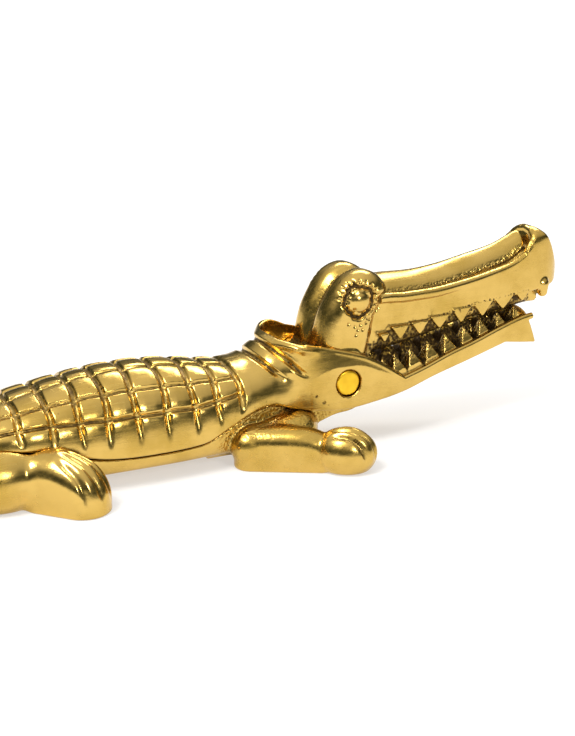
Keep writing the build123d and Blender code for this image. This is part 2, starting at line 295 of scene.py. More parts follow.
def scale_relief(x, angle):
    """Depth of the grooves between the scales, and how far a point is into one, 0 to 1, used to darken the colour as
    patina, with painted shade making the upper grooves darker.
    """
    girth = (BACK_WIDTH(x) + BACK_CROWN(x) - BACK_EDGE(x)) / MID_BACK_GIRTH
    along = np.interp(angle, ROW_ANGLES, ROW_LENGTHS) * girth
    wander = 0.22 * np.sin(0.13 * x + 0.4) + 0.12 * np.sin(0.51 * x)
    to_row = np.full(x.shape, FAR_AWAY)
    for length in ROW_LENGTHS[2:5]:
        to_row = np.minimum(to_row, np.abs(along - length * girth - wander))
    swerve = 0.28 * np.sin(0.09 * angle + 0.31 * x)
    to_ring = np.full(x.shape, FAR_AWAY)
    for place in RING_GROOVES:
        to_ring = np.minimum(to_ring, np.abs(x + swerve - place))
    fade = 1.0 - smooth_step(*ROWS_FADE_X, x)
    above_skirt = smooth_step(3.0, 24.0, angle)
    tail = smooth_step(-132.0, -100.0, x)
    in_ring = (1.0 - smooth_step(0.2, 0.8 + 0.55 * tail, to_ring)) * above_skirt
    in_row = (1.0 - smooth_step(0.15, 0.55 + 0.4 * tail, to_row)) * fade
    swell = ((1.0 - smooth_step(0.6, 3.4, to_ring)) * above_skirt
             + 0.7 * (1.0 - smooth_step(0.4, 2.6, to_row)) * fade)
    depth = ((0.55 + 0.5 * tail) * in_ring + (0.4 + 0.4 * tail) * in_row * (1 - 0.75 * in_ring)
             + 0.2 * tail * swell)
    # Painted shade: the grooves darken more higher on the arch, the lower ones being left lighter as if lit by
    # reflected light.
    ring_patina_and_shade = 0.5 + 0.4 * smooth_step(25.0, 60.0, angle)
    return depth, np.maximum(ring_patina_and_shade * in_ring, 0.85 * in_row)


NECK_RINGS = [2.2, 7.3]      # two V grooves, as places along the neck's slanted axis
NECK_RING_HALF_WIDTH = 1.25
NECK_RING_DEPTH = 1.25
NECK_BAND = (4.9, 2.0, 0.35)     # raised between them: place, half width, rise


def neck_relief(x, z):
    """Two V grooves round the neck with a raised band between."""
    along = (x + z) / math.sqrt(2.0)
    on_neck = smooth_step(-34.0, -30.0, x) * smooth_step(24.3, 27.3, z)
    depth, mask = 0.0, 0.0
    for place in NECK_RINGS:
        d = np.abs(along - place)
        cut = np.maximum(1.0 - d / NECK_RING_HALF_WIDTH, 0.0)
        depth = depth + NECK_RING_DEPTH * cut * on_neck
        mask = np.maximum(mask, groove(d, 0.7) * on_neck)
    place, half_width, rise = NECK_BAND
    band = groove(along - place, half_width) * on_neck
    return depth - rise * band, mask


CHEEK_JAW = Outline(
    [(-13.0, 13.8), (-13.0, 33.8), (-9.6, 33.0), (-2.7, 31.2), (6.3, 28.3),
     (13.7, 24.3), (21.0, 19.4), (28.9, 21.4), (38.7, 24.4), (48.6, 26.9), (58.7, 30.0), (66.6, 32.0), (70.0, 32.4),
     (71.8, 28.4), (73.7, 23.2), (67.2, 24.0), (61.3, 24.9), (47.0, 21.3), (33.0, 18.1), (21.2, 15.0), (9.5, 13.5),
     (-1.3, 12.6)],
    corners=(0, 1, 6, 12, 14, 16))
CHEEK_RIM = curve([(-26.0, 36.2), (-20.5, 35.5), (-15.8, 34.5), (-9.6, 33.0), (-2.7, 31.2), (6.3, 28.3),
                   (13.7, 24.3), (20.6, 19.6)])
JAW_RIM = curve([(20.8, 19.4), (28.9, 21.4), (38.7, 24.4), (48.6, 26.9), (58.7, 30.0), (68.3, 32.5), (72.5, 33.0)])
ARRIS = curve([(-34.0, 17.0), (-28.5, 18.2), (-18.1, 20.8), (-10.0, 24.8), (-3.5, 26.4), (3.8, 26.1), (10.8, 23.5),
               (19.9, 19.4), (24.0, 17.0)])
JAW_PLAN = curve([(-40.0, 15.0), (4.0, 15.0), (12.0, 14.5), (21.0, 13.3), (40.0, 11.1), (60.0, 9.3), (70.0, 8.6),
                  (75.0, 8.4)])
JAW_CORNER_X = 20.7          # where the rim of the cheek meets the rim of the jaw
ARRIS_LEAN, ARRIS_BEND = 0.24, 0.006
FAR_RIM_LIFT = 2.2
RIM_BEAD_RADIUS, RIM_BEAD_INSET, RIM_BEAD_DROP = 1.0, 0.85, 0.55
RIM_BEAD_SPAN = (-14.0, 72.0)
JAW_WALL = 2.5
TROUGH_FLOOR = curve([(9.0, 16.6), (21.2, 17.6), (47.0, 23.6), (61.3, 27.0), (72.0, 28.0)])
TROUGH_SPAN = (9.0, 69.2)
THROAT = Outline([(-60.0, -20.0), (3.0, -20.0), (6.0, 11.6), (9.4, 15.2), (11.0, 21.0), (13.0, 26.0), (24.0, 60.0),
                  (-60.0, 60.0)], corners=(0, 1, 2, 6, 7))
LOWER_TEETH_X = [14.2, 18.8, 24.8, 31.6, 38.6, 45.8, 52.6, 59.6, 66.2]
LOWER_TIP_LINE = curve([(13.9, 25.9), (66.5, 36.2)])
LOWER_TOOTH_SPANS = (1.8, 4.9, 3.3)       # reach of a tooth backwards, forwards and sideways at its base
LOWER_TOOTH_HEIGHT = 7.2
LOWER_TOOTH_INSET = 4.1                   # from the side of the jaw to the middle of a tooth
LOWER_TOOTH_STEEPNESS = 2.3
FRONT_SILL = (69.0, 0.0, 31.6)            # rise that closes the front end of the trough
FRONT_SILL_RADII = (3.4, 8.0, 3.2)
FRONT_SILL_END_X = 70.8
HOLE_RADIUS = 4.35
HOLE_START_Y = 5.0


def cheek_lean(x, z):
    """How far the cheek leans inwards above its arris."""
    above = np.maximum(z - ARRIS(x), 0.0) * (1.0 - smooth_step(16.0, 22.0, x))
    return (ARRIS_LEAN * above + ARRIS_BEND * above ** 2) * smooth_step(-20.0, -4.0, x)


def side_edge(x, z):
    """Outer half width of the cheeks and the lower jaw."""
    return JAW_PLAN(x) - cheek_lean(x, z)


def tooth_row(x, ay, z):
    """Saw-like pyramids of one side of the lower jaw, steep towards the throat."""
    best = np.full(x.shape, FAR_AWAY)
    behind, ahead, aside = LOWER_TOOTH_SPANS
    for tooth_x in LOWER_TEETH_X:
        centre_y = float(JAW_PLAN(tooth_x)) - LOWER_TOOTH_INSET
        drop = np.clip((float(LOWER_TIP_LINE(tooth_x)) - z) / LOWER_TOOTH_HEIGHT, -0.2, 1.5)
        u, v = x - tooth_x, ay - centre_y
        u = np.where(u < 0, -u / behind, u / ahead)
        v = np.abs(v) / aside
        cone = (smooth_max(u, v, 0.12) - drop) * LOWER_TOOTH_STEEPNESS
        best = smooth_min(best, cone, 0.5)
    return best


def back_lever_field(x, y, z):
    """Back, tail, collar, cheeks and lower jaw: the field, the groove mask, which is patina with painted shade in
    the upper scale grooves and deep in the trough, and the as-cast mask.
    """
    ay = np.abs(y)
    arch, angle = arch_field(x, y, z)
    depth, mask = scale_relief(x, angle)
    neck_depth, neck_mask = neck_relief(x, z)
    mask = np.maximum(mask, neck_mask)
    side = ay - side_edge(x, z)
    to_side = smooth_step(-22.0, -13.5, x) * (1.0 - smooth_step(36.0, 41.0, z))
    outer = arch * (1.0 - to_side) + side * to_side + depth + neck_depth
    shell_edge = BACK_EDGE(x) - z
    softness = 0.7 + 2.4 * (1.0 - smooth_step(-132.0, -108.0, x))
    shell = smooth_max(outer, shell_edge, softness)
    shell = smooth_max(shell, -(x + TAIL_REACH), 2.0)
    shell = smooth_max(shell, x - SHELL_END_X, 1.0)

    block = smooth_max(CHEEK_JAW(x, z), side, 0.9)
    rim_z = np.where(x < JAW_CORNER_X, CHEEK_RIM(x), JAW_RIM(x))
    bead_y = side_edge(x, rim_z) - RIM_BEAD_INSET
    bead = np.hypot(ay - bead_y, 0.93 * (z - rim_z + RIM_BEAD_DROP)) - RIM_BEAD_RADIUS
    bead = np.maximum(bead, outside_span(x, *RIM_BEAD_SPAN))
    block = smooth_min(block, bead, 0.5)

    far_lift = FAR_RIM_LIFT * smooth_step(0.0, 9.0, y) * smooth_step(-21.0, -13.0, x) * smooth_step(1.0, -7.0, x)
    rim_cut = z - CHEEK_RIM(x) - 0.2 - far_lift
    lip = 1.0 * groove(rim_cut + 1.2, 1.3) * smooth_step(24.0, 30.0, z) * smooth_step(-28.0, -24.0, x)
    lip = lip * smooth_step(-8.0, -14.0, x)
    shell = smooth_max(shell - lip, rim_cut, 1.8)
    body = smooth_min(shell, block, 0.4)

    hollow = np.maximum(arch + SHELL_WALL - 0.6 * lip, HOLLOW_START_X - x)
    hollow = np.maximum(hollow, x - HOLLOW_END_X)
    body = smooth_max(body, -hollow, 0.8)
    in_collar = smooth_step(28.0, 33.0, z)
    corner = 0.5 + 7.5 * in_collar
    plan_cut = round_edge(ay - FORK_HALF_GAP + corner, COLLAR_WALL_X - x + corner - 1.4 * in_collar, corner)
    passage = np.maximum(plan_cut, THROAT(x, z))
    body = smooth_max(body, -passage, 0.6)

    inner = ay - (JAW_PLAN(x) - JAW_WALL)
    floor = TROUGH_FLOOR(x)
    slope_up = np.maximum(floor, JAW_RIM(x) - 1.5 + 0.9 * inner)
    trough = np.maximum(np.maximum(inner, slope_up - z), outside_span(x, *TROUGH_SPAN))
    body = smooth_max(body, -trough, 0.8)
    in_trough = smooth_step(0.3, -0.8, inner) * smooth_step(10.0, 14.0, x) * smooth_step(73.0, 69.0, x)
    teeth = np.maximum(tooth_row(x, ay, z), np.maximum(inner - 0.9, floor - 1.5 - z))
    body = smooth_min(body, teeth, 0.6)
    sill = np.maximum(ellipsoid(x, y, z, FRONT_SILL, FRONT_SILL_RADII), x - FRONT_SILL_END_X)
    body = smooth_min(body, sill, 0.6)
    cast = in_trough * smooth_step(12.0, 8.0, z - floor)
    cast = np.maximum(cast, smooth_step(-1.2, -0.4, -hollow) * smooth_step(0.0, -4.0, x))
    # Painted shade: the trough of the lower jaw darkens towards its floor.
    mask = np.maximum(mask, 0.9 * in_trough * smooth_step(8.0, 3.0, z - floor))

    hole = np.hypot(x, z - PIVOT_Z) - HOLE_RADIUS
    body = smooth_max(body, -np.maximum(hole, HOLE_START_Y - ay), 0.35)
    return body, mask, cast


# ---------------------------------------------------------------- belly lever

ROOT_HALF_WIDTH = 12.0
TONGUE_RADIUS = 9.6
PIN_RADIUS = 4.0
SKULL = Outline(      # side view of the skull and its two brows
    [(-8.4, 28.0), (-7.4, 34.0), (-5.8, 40.5), (-3.7, 45.0), (-0.8, 49.4), (2.6, 52.6), (7.5, 54.3), (12.0, 53.3),
     (15.2, 50.6), (16.5, 47.6), (14.6, 43.6), (12.4, 39.0), (11.4, 34.0), (10.2, 28.6), (8.0, 23.0), (3.6, 17.0),
     (-3.0, 17.0), (-8.0, 22.0)])
SKULL_ROUNDING = 5.6
SLAB = Outline(       # flat side of the upper jaw, with the nose turned up at its end
    [(4.0, 30.0), (4.0, 42.0), (9.0, 45.4), (16.0, 46.4), (23.0, 46.0), (31.4, 46.0), (42.8, 47.0), (54.7, 48.9),
     (64.5, 51.4), (69.6, 54.4), (71.8, 58.2), (73.8, 61.0), (76.4, 59.8), (79.4, 56.2), (82.0, 51.6),
     (SNOUT_REACH - 0.25, 46.8), (83.4, 42.6), (79.0, 41.3), (70.5, 40.5), (63.2, 39.8), (54.4, 38.9), (46.5, 38.0),
     (38.8, 36.6), (31.1, 35.6), (23.6, 35.0), (17.2, 34.1), (13.8, 31.6), (10.6, 27.6), (8.4, 22.0), (3.0, 22.0)],
    corners=(0, 25, 28, 29))
HEAD_PLAN = curve([(-14.0, 12.0), (10.0, 12.0), (19.0, 11.3), (40.0, 9.9), (63.0, 8.5), (70.0, 8.0), (75.0, 7.4),
                   (79.0, 6.2), (82.0, 4.5), (84.0, 2.6), (86.0, 0.2)])
NOSE_CREST = curve([(54.0, 9.4), (57.0, 8.2), (59.0, 6.6), (60.4, 4.6), (61.3, 2.4), (62.2, 0.1)])   # by Z
BEAD_LINE = curve([(14.0, 46.7), (23.0, 46.0), (31.4, 46.0), (42.8, 47.0), (54.7, 48.9), (64.5, 51.4), (69.6, 54.4)])
RIDGE_CROWN = curve([(6.0, 50.6), (18.7, 50.9), (27.8, 50.7), (38.9, 51.6), (50.1, 53.8), (61.5, 56.4), (69.1, 59.6),
                     (74.0, 61.2)])
RIDGE_MARGIN = 2.7           # from the side of the snout to the foot of the ridge
RIDGE_END_X = 70.4
RIDGE_SQUARENESS = 1.75
BEAD_RADIUS, BEAD_DROP = 1.7, 1.3
GUTTER_RADIUS = 0.85
GUTTER_SPAN = (15.5, 70.5)
PALATE_WALL, PALATE_RISE = 3.2, 2.6
PALATE_SPAN = (14.5, 76.0)
LIP = curve([(12.0, 31.4), (14.5, 33.5), (17.2, 34.7), (23.6, 35.4), (31.1, 36.0), (38.8, 37.2), (46.5, 38.6),
             (54.4, 39.4), (63.2, 40.3), (70.5, 41.1), (79.0, 41.7)])
UPPER_TEETH = [(14.5, 31.5, 1.4), (20.4, 31.7, 2.9), (27.8, 32.3, 3.0), (35.4, 33.1, 3.4), (43.7, 33.8, 3.4),
               (52.0, 34.9, 3.7), (60.1, 36.3, 3.9), (67.9, 37.9, 2.9)]     # X, tip Z, half length at the lip
TOOTH_DEPTH = 2.4
KEEL_HALF_WIDTH = 4.2
KEEL_SPAN = (10.0, 76.0)
KEEL_BOTTOM = curve([(10.0, 25.6), (20.0, 26.6), (30.0, 28.4), (38.0, 30.2), (46.0, 32.2), (58.0, 33.6),
                     (72.0, 35.6)])
FANG = ((76.6, -6.0, 42.2), (76.9, -5.9, 39.6), 2.3, 1.7)
NOSE_LOOP = [(69.4, 7.1, 53.9), (71.3, 6.4, 56.3), (72.5, 5.0, 58.3), (73.2, 2.9, 59.5), (73.4, 0.0, 60.0)]
NOSE_LOOP_RADIUS = 1.1
EYE = (5.3, 45.4)
EYE_DEPTH_Y, EYE_RADIUS = 10.4, 3.9
EYE_RING_RADIUS, EYE_RAYS_RADIUS = 4.75, 6.0
PITS = [(-1.8, -7.5), (-0.8, -8.6), (1.0, -8.8), (-1.4, -10.2), (2.3, -6.9), (3.6, -6.1), (6.8, -3.9), (7.7, -3.1),
        (-4.0, -6.4), (2.7, -5.6), (0.2, -7.2), (5.4, -5.2)]      # from the eye
NECK = Outline([(9.0, 24.0), (8.6, 16.0), (4.0, 11.8), (-4.0, 10.2), (-14.0, 7.0), (-30.0, 3.4), (-46.0, 3.3),
                (-46.0, 9.0), (-30.0, 15.0), (-16.0, 23.0), (-10.0, 28.0), (-6.0, 30.0), (4.0, 30.0)],
               corners=(6, 7, 12))
NECK_WIDTH = curve([(-46.0, 12.0), (-30.0, 11.2), (-18.0, 10.8), (-13.0, 11.9), (0.0, 12.0)])
BELLY_WIDTH = curve([(-114.0, 11.0), (-108.0, 14.0), (-98.0, 17.0), (-80.0, 18.2), (-60.0, 18.0), (-46.0, 16.9),
                     (-36.0, 15.4), (-24.0, 13.0), (-14.0, 10.0)])
BELLY_FLOOR_Z = 4.2
BELLY_ROUNDING = (4.5, 6.4)      # width and height of the rounding of its lower edges
BELLY_SPAN = (-113.0, -20.0)
TRAY_SPAN = (-104.0, -44.0)
TRAY_FLOOR_Z = 8.3
TRAY_WALL = 2.8
SEAM_GAP = 0.7


def skull_field(x, y, z):
    """Thick round skull with two brow lobes and a valley between them."""
    radial = SKULL(x, z)
    ay = np.abs(y)
    above = smooth_step(45.5, 48.5, z)
    half_width = HEAD_PLAN(x) + 0.4 * above - 0.4 * (1.0 - above) * smooth_step(3.0, 9.0, x)
    q1, q2 = radial + SKULL_ROUNDING, ay - half_width + SKULL_ROUNDING
    wheel = round_edge(q1, q2, SKULL_ROUNDING)
    upper = smooth_step(35.0, 44.0, z - 0.35 * (x - 9.0)) * smooth_step(20.0, 12.0, x)
    valley = groove(ay, 2.3) * upper
    return wheel + 2.1 * valley, 0.75 * groove(ay, 0.9) * upper


def eye_field(x, ay, z):
    """Domed eye in a chiselled ring: field of the dome, depth of the cuts round it, groove mask."""
    dx, dz = x - EYE[0], z - EYE[1]
    r = np.hypot(dx, dz)
    angle = np.arctan2(dz, dx)
    dome = np.sqrt(dx ** 2 + dz ** 2 + (1.3 * (ay - EYE_DEPTH_Y)) ** 2) - EYE_RADIUS
    near = smooth_step(7.0, 9.5, ay)
    rough_r = r + 0.22 * np.sin(5.0 * angle + 1.0) + 0.14 * np.sin(13.0 * angle)
    ring = groove(rough_r - EYE_RING_RADIUS, 0.66) * near
    punched = smooth_step(0.1, 0.9, np.cos(21.0 * angle + 0.8 * np.sin(3.0 * angle)))
    rays = groove(r - EYE_RAYS_RADIUS, 0.8) * punched * near * smooth_step(-4.5, 1.0, dz + 0.4 * dx)
    pits = np.zeros(x.shape)
    for pit_x, pit_z in PITS:
        pits = np.maximum(pits, groove(np.hypot(dx - pit_x, 1.3 * (dz - pit_z)), 0.5))
    pits = pits * near
    return dome, 1.15 * ring + 0.4 * rays + 0.45 * pits, np.maximum.reduce([ring, 0.8 * rays, 0.95 * pits])


def upper_teeth_field(x, ay, z):
    """Flat wedges along the lip, almost flush with the side of the jaw."""
    best = np.full(x.shape, FAR_AWAY)
    for tooth_x, tip_z, half in UPPER_TEETH:
        root_z = float(LIP(tooth_x)) + 0.6
        slope = half / (root_z - tip_z)
        side = (np.hypot(x - tooth_x, 0.5) - 0.5 - slope * (z - tip_z)) / math.hypot(1.0, slope)
        best = np.minimum(best, smooth_max(side, z - root_z, 0.3))
    face = HEAD_PLAN(x) - 0.3
    inner_face = face - TOOTH_DEPTH * smooth_step(-6.0, 0.0, z - LIP(x)) - 0.5
    band = smooth_max(ay - face, inner_face - ay, 0.3)
    return smooth_max(best, band, 0.35)


def lip_marks(x, z):
    """Chiselled line just above the roots of the upper teeth."""
    offset = z - LIP(x) - 0.3 - 0.2 * np.sin(2.9 * x)
    inside = smooth_step(16.0, 19.0, x) * smooth_step(72.0, 69.0, x)
    return groove(offset, 0.42) * inside * (0.6 + 0.4 * np.sin(5.3 * x + np.sin(2.1 * x)))


def head_field(x, y, z):
    """Skull, upper jaw, ridge, nose, eyes and teeth: the field, the groove mask, which is patina with painted shade
    in the roof of the mouth, and the as-cast mask.
    """
    ay = np.abs(y)
    plan, lip, bead_z = HEAD_PLAN(x), LIP(x), BEAD_LINE(x)
    skull, valley_mask = skull_field(x, y, z)
    slab = smooth_max(SLAB(x, z), smooth_max(ay - plan, ay - NOSE_CREST(z), 1.6), 1.0)
    bead_x = np.clip(x, 16.0, 69.6)
    bead = np.hypot(ay - HEAD_PLAN(bead_x) + BEAD_RADIUS, z - BEAD_LINE(bead_x) + BEAD_DROP) - BEAD_RADIUS
    bead = np.maximum(bead, outside_span(x, 13.0, 69.8))
    for start, end in zip(NOSE_LOOP, NOSE_LOOP[1:]):
        link = round_cone(x, ay, z, start, end, NOSE_LOOP_RADIUS, NOSE_LOOP_RADIUS)
        bead = smooth_min(bead, link, 0.4)
    foot = bead_z - 1.8
    width, rise = plan - RIDGE_MARGIN, RIDGE_CROWN(x) - foot
    a, b = np.maximum(ay / width, 1e-3), np.maximum((z - foot) / rise, 1e-3)
    ridge, _, _ = superellipse(a, b, width, rise, RIDGE_SQUARENESS)
    ridge = smooth_max(ridge, x - RIDGE_END_X, 1.6)
    ridge = np.maximum(ridge, np.maximum(8.0 - x, foot - 1.0 - z))
    gutter_y = plan - RIDGE_MARGIN + 0.25
    to_gutter = np.hypot(ay - gutter_y, z - bead_z - 0.1)
    gutter = np.maximum(to_gutter - GUTTER_RADIUS, outside_span(x, *GUTTER_SPAN))
    jaw = smooth_max(smooth_min(smooth_min(slab, bead, 0.35), ridge, 0.4), -gutter, 0.5)
    loop = groove(x - 70.9 - 0.22 * (z - 58.0), 0.7) * smooth_step(54.5, 57.0, z) * smooth_step(6.4, 5.0, ay)
    jaw = jaw + 1.0 * loop
    head = smooth_min(jaw, skull, 0.25)

    dome, ring_depth, ring_mask = eye_field(x, ay, z)
    head = head + ring_depth
    head = smooth_min(head, dome, 0.35)

    palate = np.maximum(ay - (plan - PALATE_WALL), z - lip - PALATE_RISE)
    palate = np.maximum(palate, outside_span(x, *PALATE_SPAN))
    head = smooth_max(head, -palate, 1.0)
    keel = smooth_max(ay - KEEL_HALF_WIDTH, KEEL_BOTTOM(x) - z, 3.0)
    keel = np.maximum(keel, np.maximum(z - lip - 4.0, outside_span(x, *KEEL_SPAN)))
    head = smooth_min(head, keel, 0.8)
    marks = lip_marks(x, z) * smooth_step(-2.0, -0.5, ay - plan)
    head = head + 0.5 * marks
    head = smooth_min(head, upper_teeth_field(x, ay, z), 0.25)
    a_end, b_end, ra, rb = FANG
    head = smooth_min(head, round_cone(x, -ay, z, a_end, b_end, ra, rb), 0.9)
    in_gutter = groove(to_gutter, 1.1) * smooth_step(14.0, 17.0, x)
    in_gutter = in_gutter * smooth_step(72.0, 70.0, x)
    # Painted shade: the roof of the mouth, under the lip and round the palate, is darkened; it is also stippled as
    # cast.
    roof_painted_shade = smooth_step(0.9, -0.6, z - lip) * smooth_step(0.4, -0.6, ay - plan + 2.0)
    roof_painted_shade = 0.85 * np.maximum(roof_painted_shade, smooth_step(0.5, -1.0, palate)) * smooth_step(75.0, 72.0, x)
    mask = np.maximum.reduce([valley_mask, ring_mask, marks, 0.6 * in_gutter, 0.9 * loop, roof_painted_shade])
    beside_ridge = smooth_step(2.6, 0.8, plan - RIDGE_MARGIN - ay + 0.3 * (z - bead_z))
    above_bead = smooth_step(0.0, 0.6, z - bead_z) * beside_ridge
    cast = np.maximum.reduce([above_bead * smooth_step(13.0, 17.0, x) * smooth_step(72.0, 69.0, x), 0.8 * roof_painted_shade,
                              0.8 * valley_mask])
    return head, mask, cast


def belly_field(x, y, z):
    """Belly plate with upturned sides and the neck root between the cheeks."""
    ay = np.abs(y)
    width = BELLY_WIDTH(x)
    wide, high = BELLY_ROUNDING
    lower_round = np.hypot(np.maximum(ay - (width - wide), 0.0) / wide, np.maximum(10.2 - z, 0.0) / high) - 1.0
    side = smooth_max(ay - width, lower_round * wide, 0.5)
    top = z - (BACK_EDGE(x) - SEAM_GAP)
    plate = smooth_max(smooth_max(side, BELLY_FLOOR_Z - z, 1.0), top, 0.5)
    plate = smooth_max(plate, outside_span(x, *BELLY_SPAN), 2.0)
    tray = np.maximum(outside_span(x, *TRAY_SPAN), np.maximum(ay - (width - TRAY_WALL), TRAY_FLOOR_Z - z))
    plate = smooth_max(plate, -tray, 1.0)
    neck = smooth_max(NECK(x, z), ay - NECK_WIDTH(x), 0.6)
    tongue = smooth_max(np.hypot(x, z - PIVOT_Z) - TONGUE_RADIUS, ay - ROOT_HALF_WIDTH, 0.4)
    return smooth_min(smooth_min(plate, neck, 3.0), tongue, 1.0)


def toes(u, v, height, count, spread, width):
    """Grooves between toes: u runs towards the claws and v across the paw."""
    mask = np.zeros(u.shape)
    for i in range(count):
        place = (i - (count - 1) / 2) * spread
        fan = place * (1.0 + 0.05 * np.clip(u, -6.0, 8.0))
        mask = np.maximum(mask, groove(v - fan, width))
    return mask * smooth_step(-5.5, -1.0, u) * smooth_step(2.5, 8.0, height)


SHOULDER = ((-17.5, -14.6, 8.8), (-35.0, -16.6, 6.6), 6.0, 5.2)      # rods: two ends and two radii
WEB = ((-14.0, -11.0, 8.4), (-34.0, -12.5, 6.6), 4.6, 4.0)
THIGH = ((-112.0, -12.0, 8.2), (-99.0, -17.0, 8.6), 6.4, 6.6)
FOREARM = ((-38.2, -13.7), (-11.0, -29.0), 5.4)                      # bars: two ends and half width
FOOT = ((-102.5, -13.8), (-84.9, -33.3), 7.7)
FOREARM_ROUNDING, FOOT_ROUNDING = 5.3, 7.5
FOREARM_HEIGHT = curve([(-16.0, 12.6), (0.0, 12.9), (8.0, 12.2), (13.0, 10.6), (16.0, 10.4)])
PAW = (-9.6, -31.4, 5.6)
PAW_RADII = (9.3, 7.6, 7.7)
PAW_TURN = -30.0
HAUNCH, HAUNCH_RADII = (-110.0, -16.4, 8.0), (13.5, 8.4, 9.6)
FOOT_HEIGHT = curve([(-12.0, 16.6), (-2.0, 16.8), (4.0, 15.4), (12.0, 11.8)])


def front_leg_field(x, ry, z):
    """Upper arm, forearm and paw; ry is negative on the outer side."""
    shoulder, web = round_cone(x, ry, z, *SHOULDER), round_cone(x, ry, z, *WEB)
    forearm, _, _ = rounded_bar(x, ry, z, *FOREARM, FOREARM_HEIGHT, FOREARM_ROUNDING)
    arm = smooth_min(smooth_min(shoulder, web, 3.0), forearm, 1.0)
    turn = math.radians(PAW_TURN)
    paw = ellipsoid(x, ry, z, PAW, PAW_RADII, math.degrees(turn))
    c, s = math.cos(turn), math.sin(turn)
    u = c * (x - PAW[0]) + s * (ry - PAW[1])
    v = -s * (x - PAW[0]) + c * (ry - PAW[1])
    toe_mask = toes(u, v, z, 4, 2.8, 0.75)
    leg = smooth_min(arm, paw + 1.0 * toe_mask, 1.0)
    return smooth_max(leg, -z, 0.9), 0.6 * toe_mask


def rear_leg_field(x, ry, z):
    """Haunch, shank and foot."""
    haunch = ellipsoid(x, ry, z, HAUNCH, HAUNCH_RADII)
    thigh = round_cone(x, ry, z, *THIGH)
    foot, u, v = rounded_bar(x, ry, z, *FOOT, FOOT_HEIGHT, FOOT_ROUNDING)
    toe_mask = toes(u - 4.0, v, z, 4, 3.2, 0.85)
    leg = smooth_min(smooth_min(haunch, thigh, 3.0), foot + 0.75 * toe_mask, 1.8)
    return smooth_max(leg, -z, 0.9), 0.4 * toe_mask


def belly_lever_field(x, y, z):
    """Belly, legs, neck root and head: the field, the groove mask, which is patina with painted shade in the roof of
    the mouth, and the as-cast mask.
    """
    ry = -np.abs(y)
    head, mask, cast = head_field(x, y, z)
    belly = belly_field(x, y, z)
    front, front_mask = front_leg_field(x, ry, z)
    rear, rear_mask = rear_leg_field(x, ry, z)
    skirt_room = BACK_EDGE(x) - SEAM_GAP - z
    rear = smooth_max(rear, -np.maximum(np.abs(y) - BACK_WIDTH(x) - 0.7, skirt_room), 0.6)
    body = smooth_min(smooth_min(belly, front, 1.2), rear, 1.6)
    body = smooth_min(body, head, 1.0)
    hole = np.hypot(x, z - PIVOT_Z) - PIN_RADIUS
    body = np.maximum(body, -hole)
    high = smooth_step(22.0, 26.0, z)
    mask = np.maximum.reduce([mask * high, front_mask, rear_mask])
    behind_elbow = smooth_step(-50.0, -42.0, x) * smooth_step(3.0, 5.5, z) * (1.0 - smooth_step(-0.5, 0.9, belly))
    arm_top = smooth_step(9.0, 11.5, z) * smooth_step(-26.0, -18.0, ry) * smooth_step(-44.0, -36.0, x)
    cast = np.maximum(cast * high, (1.0 - high) * np.maximum(behind_elbow, 0.6 * arm_top))
    return body, mask, cast


# ---------------------------------------------------------------- surface net

CORNERS = np.array([(i, j, k) for i in (0, 1) for j in (0, 1) for k in (0, 1)])
EDGES = [(a, b) for a in range(8) for b in range(a + 1, 8) if np.abs(CORNERS[a] - CORNERS[b]).sum() == 1]
LEVELS = 4
HALF_DIAGONAL = 0.87     # of a cell of size 1
COARSE_SLACK, FINE_SLACK = 2.6, 1.6      # how far a field may differ from a true distance, as a factor


def field_at(field, points):
    """The field's value at an array of points."""
    return field(points[:, 0], points[:, 1], points[:, 2])[0]


def cells_near_surface(field, low, high, cell):
    """Whole-number places of the finest cells that may hold the surface."""
    coarse = cell * 2 ** LEVELS
    count = np.ceil((high - low) / coarse).astype(int)
    cells = np.stack(np.meshgrid(*[np.arange(n) for n in count], indexing="ij"), -1).reshape(-1, 3)
    for level in range(LEVELS, -1, -1):
        size = cell * 2 ** level
        value = field_at(field, low + (cells + 0.5) * size)
        cells = cells[np.abs(value) < HALF_DIAGONAL * size * (COARSE_SLACK if level else FINE_SLACK)]
        if level:
            cells = (cells[:, None, :] * 2 + CORNERS[None, :, :]).reshape(-1, 3)
    return cells


def pack_key(places, base):
    """One whole number for each place in the grid."""
    return (places[:, 0] * base[1] + places[:, 1]) * base[2] + places[:, 2]


